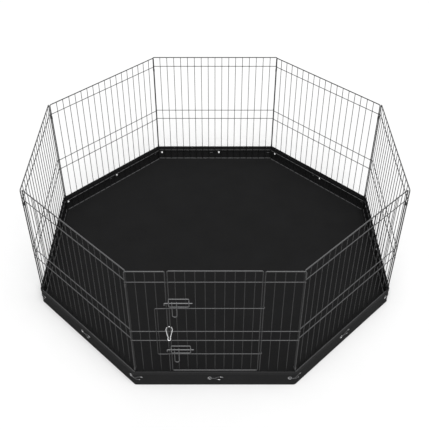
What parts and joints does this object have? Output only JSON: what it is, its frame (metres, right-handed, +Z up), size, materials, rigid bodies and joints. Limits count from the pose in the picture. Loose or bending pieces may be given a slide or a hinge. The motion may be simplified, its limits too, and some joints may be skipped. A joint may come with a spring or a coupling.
{
  "type": "pet playpen",
  "caption": "Folding octagonal wire pen for pets with a latched swinging door and a fabric floor mat with a low raised skirt.",
  "frame": {"origin": "centre of the octagonal floor, on the surface that the mat lies on", "axes": "+Z up; -Y is the front, where the door is; +X is to the right seen from the front"},
  "size_m": [1.4908, 1.5069, 0.614],
  "materials": {
    "black_coated_wire": "black electro-coated steel wire, satin",
    "zinc_plate": "bright zinc plate",
    "mat_fabric": "black coated Oxford weave, matt",
    "tie_coating": "dark grey plastic-coated spring wire"
  },
  "bodies": {
    "front_frame": {"mat_floor": "mat_fabric", "mat_skirt": "mat_fabric", "mat_tie_back": "tie_coating", "mat_tie_back_corner": "tie_coating", "mat_tie_front": "tie_coating", "mat_tie_front_corner": "tie_coating", "mat_tie_left": "tie_coating", "mat_tie_left_back": "tie_coating", "mat_tie_left_back_corner": "tie_coating", "mat_tie_left_corner": "tie_coating", "mat_tie_left_front": "tie_coating", "mat_tie_left_front_corner": "tie_coating", "mat_tie_right": "tie_coating", "mat_tie_right_back": "tie_coating", "mat_tie_right_back_corner": "tie_coating", "mat_tie_right_corner": "tie_coating", "mat_tie_right_front": "tie_coating", "mat_tie_right_front_corner": "tie_coating", "front_grille_left": "black_coated_wire", "front_grille_right": "black_coated_wire", "front_sill": "black_coated_wire", "closing_clip_upper": "black_coated_wire", "closing_clip_lower": "black_coated_wire", "clip_upper_front_to_left_front": "black_coated_wire", "clip_lower_front_to_left_front": "black_coated_wire"},
    "panel_left_front": {"panel_left_front": "black_coated_wire", "clip_upper_left_front_to_left": "black_coated_wire", "clip_lower_left_front_to_left": "black_coated_wire"},
    "panel_left": {"panel_left": "black_coated_wire", "clip_upper_left_to_left_back": "black_coated_wire", "clip_lower_left_to_left_back": "black_coated_wire"},
    "panel_left_back": {"panel_left_back": "black_coated_wire", "clip_upper_left_back_to_back": "black_coated_wire", "clip_lower_left_back_to_back": "black_coated_wire"},
    "panel_back": {"panel_back": "black_coated_wire", "clip_upper_back_to_right_back": "black_coated_wire", "clip_lower_back_to_right_back": "black_coated_wire"},
    "panel_right_back": {"panel_right_back": "black_coated_wire", "clip_upper_right_back_to_right": "black_coated_wire", "clip_lower_right_back_to_right": "black_coated_wire"},
    "panel_right": {"panel_right": "black_coated_wire", "clip_upper_right_to_right_front": "black_coated_wire", "clip_lower_right_to_right_front": "black_coated_wire"},
    "panel_right_front": {"panel_right_front": "black_coated_wire"},
    "door": {"door_grille": "black_coated_wire", "door_stop_loop": "black_coated_wire", "latch_bracket_upper": "black_coated_wire", "latch_bracket_lower": "black_coated_wire"},
    "bolt_upper": {"latch_bolt_upper": "black_coated_wire"},
    "handle_upper": {"latch_handle_upper": "black_coated_wire"},
    "bolt_lower": {"latch_bolt_lower": "black_coated_wire"},
    "handle_lower": {"latch_handle_lower": "black_coated_wire"},
    "snap_hook": {"snap_hook_body": "zinc_plate"},
    "snap_hook_gate": {"snap_hook_gate": "zinc_plate"}
  },
  "joints": [
    {"name": "pen_fold", "type": "hinge", "parent": "front_frame", "child": "panel_left_front", "pos_m": [-0.30145, -0.73137, 0.3], "axis": [0, 0, -1], "range_deg": [0, 131], "deforming": ["mat_skirt", "mat_tie_back", "mat_tie_back_corner", "mat_tie_front", "mat_tie_front_corner", "mat_tie_left", "mat_tie_left_back", "mat_tie_left_back_corner", "mat_tie_left_corner", "mat_tie_left_front", "mat_tie_left_front_corner", "mat_tie_right", "mat_tie_right_back", "mat_tie_right_back_corner", "mat_tie_right_corner", "mat_tie_right_front", "mat_tie_right_front_corner"]},
    {"name": "turn_panel_left", "type": "hinge", "parent": "panel_left_front", "child": "panel_left", "pos_m": [-0.73752, -0.304, 0.3], "axis": [0, 0, 1], "range_deg": [0, 223.5]},
    {"name": "turn_panel_left_back", "type": "hinge", "parent": "panel_left", "child": "panel_left_back", "pos_m": [-0.73137, 0.30145, 0.3], "axis": [0, 0, -1], "range_deg": [0, 133.5]},
    {"name": "turn_panel_back", "type": "hinge", "parent": "panel_left_back", "child": "panel_back", "pos_m": [-0.304, 0.73752, 0.3], "axis": [0, 0, 1], "range_deg": [0, 223.5]},
    {"name": "turn_panel_right_back", "type": "hinge", "parent": "panel_back", "child": "panel_right_back", "pos_m": [0.30145, 0.73137, 0.3], "axis": [0, 0, -1], "range_deg": [0, 133.5]},
    {"name": "turn_panel_right", "type": "hinge", "parent": "panel_right_back", "child": "panel_right", "pos_m": [0.73752, 0.304, 0.3], "axis": [0, 0, 1], "range_deg": [0, 223.5]},
    {"name": "turn_panel_right_front", "type": "hinge", "parent": "panel_right", "child": "panel_right_front", "pos_m": [0.73137, -0.30145, 0.3], "axis": [0, 0, -1], "range_deg": [0, 133.5]},
    {"name": "door_swing", "type": "hinge", "parent": "front_frame", "child": "door", "pos_m": [0.16889, -0.73752, 0.3], "axis": [0, 0, 1], "range_deg": [0, 110]},
    {"name": "bolt_slide_upper", "type": "slide", "parent": "door", "child": "bolt_upper", "axis": [1, 0, 0], "range_m": [0, 0.012]},
    {"name": "handle_lift_upper", "type": "hinge", "parent": "bolt_upper", "child": "handle_upper", "pos_m": [-0.14089, -0.74247, 0.4598], "axis": [-1, 0, 0], "range_deg": [0, 95]},
    {"name": "bolt_slide_lower", "type": "slide", "parent": "door", "child": "bolt_lower", "axis": [1, 0, 0], "range_m": [0, 0.012]},
    {"name": "handle_lift_lower", "type": "hinge", "parent": "bolt_lower", "child": "handle_lower", "pos_m": [-0.14089, -0.74247, 0.2088], "axis": [-1, 0, 0], "range_deg": [0, 95]},
    {"name": "snap_hook_swing", "type": "hinge", "parent": "door", "child": "snap_hook", "pos_m": [-0.16439, -0.73752, 0.3183], "axis": [-1, 0, 0], "range_deg": [0, 10]},
    {"name": "snap_hook_gate_open", "type": "hinge", "parent": "snap_hook", "child": "snap_hook_gate", "pos_m": [-0.15891, -0.75165, 0.29655], "axis": [0, -0.8387, 0.5446], "range_deg": [0, 22], "stiffness_Nm_per_rad": 0.02, "springref_deg": -11.46}
  ],
  "couplings": [
    {"joint": "turn_panel_left", "follows": "pen_fold", "ratio": 1.7061},
    {"joint": "turn_panel_left_back", "follows": "pen_fold", "ratio": 1.0191},
    {"joint": "turn_panel_back", "follows": "pen_fold", "ratio": 1.7061},
    {"joint": "turn_panel_right_back", "follows": "pen_fold", "ratio": 1.0191},
    {"joint": "turn_panel_right", "follows": "pen_fold", "ratio": 1.7061},
    {"joint": "turn_panel_right_front", "follows": "pen_fold", "ratio": 1.0191}
  ]
}
